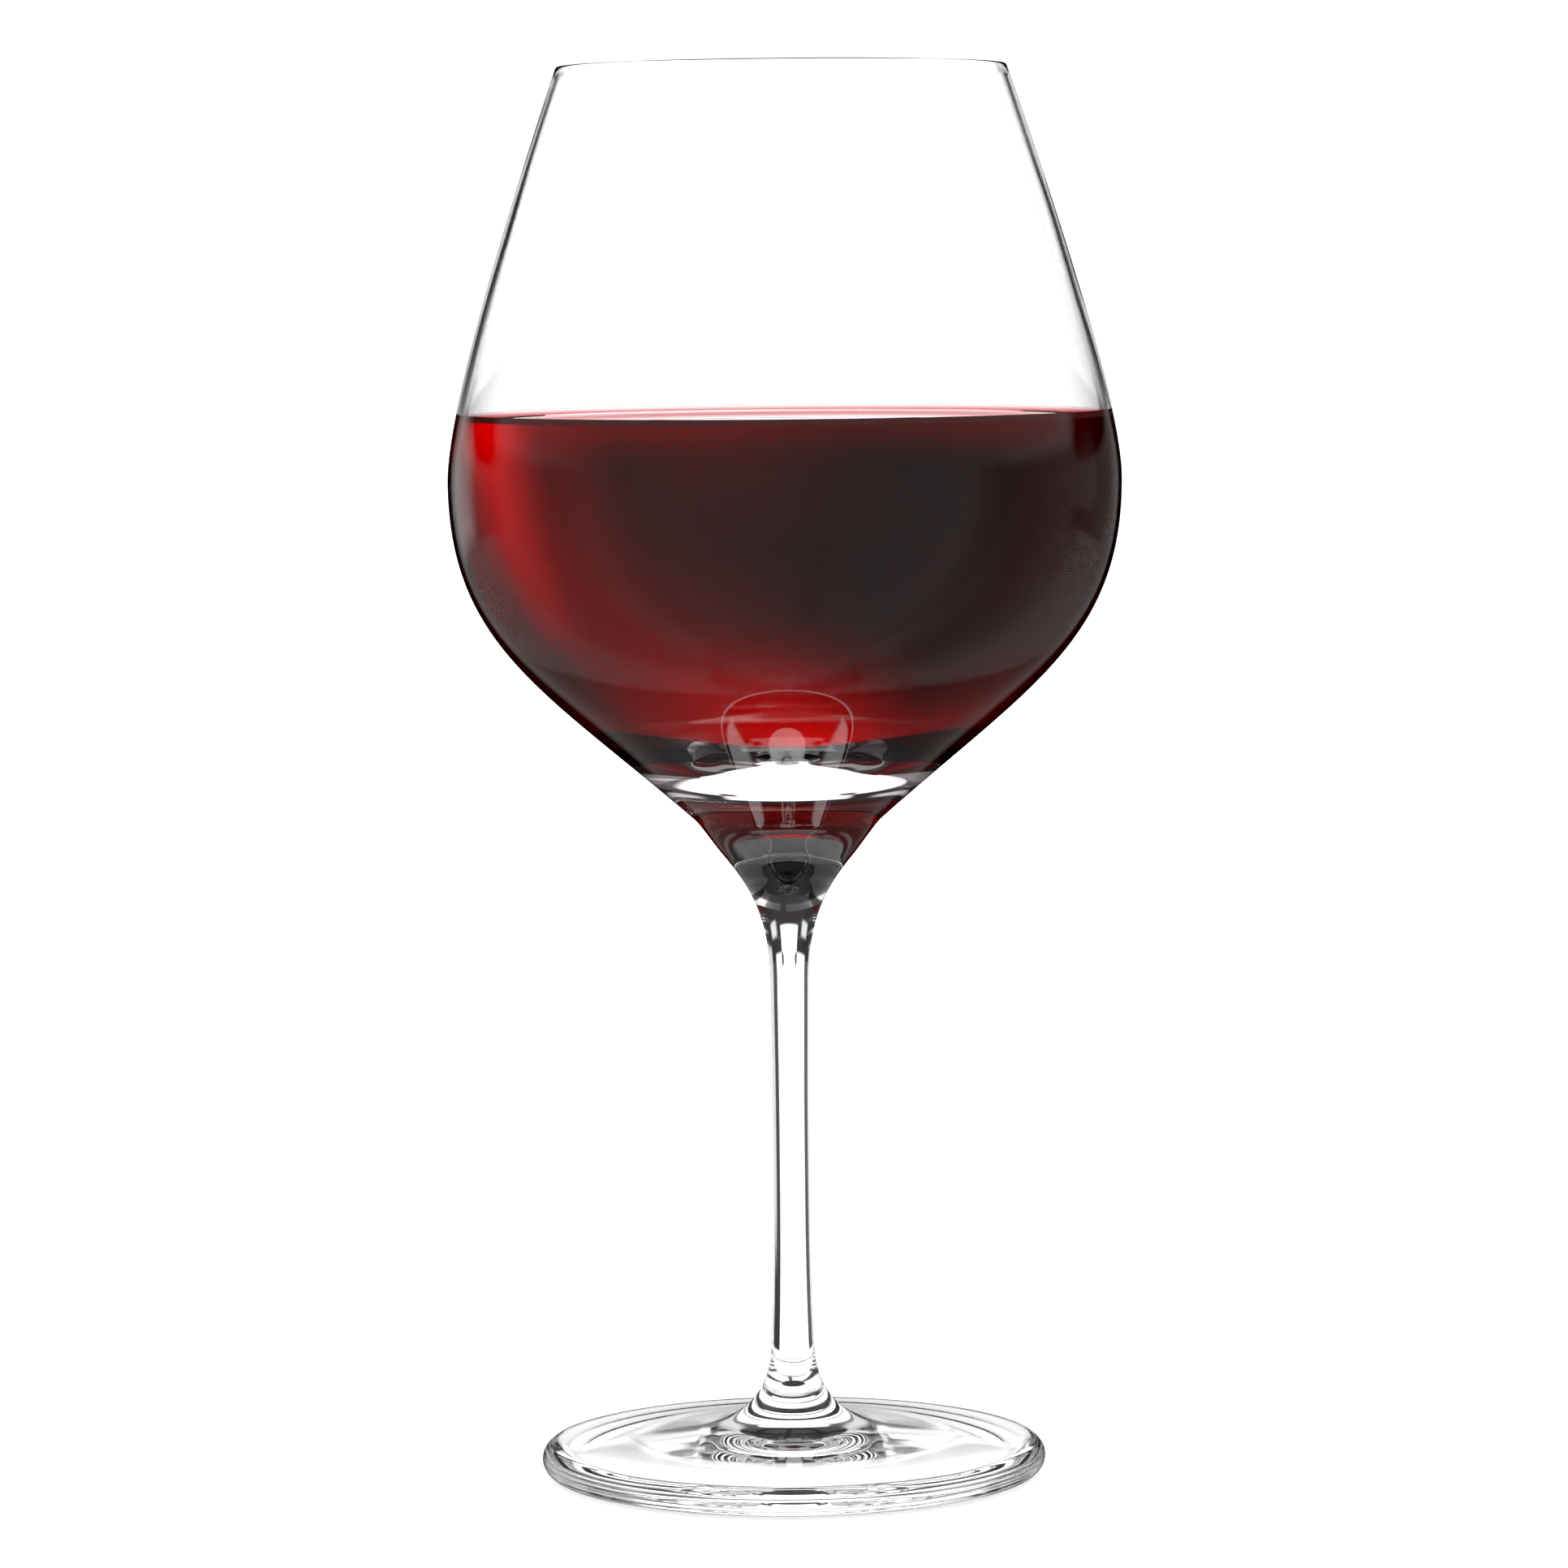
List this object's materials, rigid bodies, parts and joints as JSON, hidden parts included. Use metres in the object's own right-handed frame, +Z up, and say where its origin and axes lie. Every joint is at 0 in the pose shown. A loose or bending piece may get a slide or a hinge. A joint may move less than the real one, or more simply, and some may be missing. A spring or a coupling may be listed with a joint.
{
  "type": "glass of red wine",
  "caption": "Stemmed, wide-bowled clear glass on a round foot, filled with red wine up to the widest part of the bowl.",
  "frame": {"origin": "centre of the foot on the table it stands on", "axes": "+Z up along the stem's axis, about which both pieces are turned; X and Y are alike, and the front is towards -Y"},
  "size_m": [0.1086, 0.1086, 0.228],
  "materials": {
    "clear_glass": "clear, colourless, fire-polished",
    "red_wine": "clear dark red liquid with a still surface"
  },
  "bodies": {
    "root": {"glass": "clear_glass", "wine": "red_wine"}
  },
  "joints": []
}
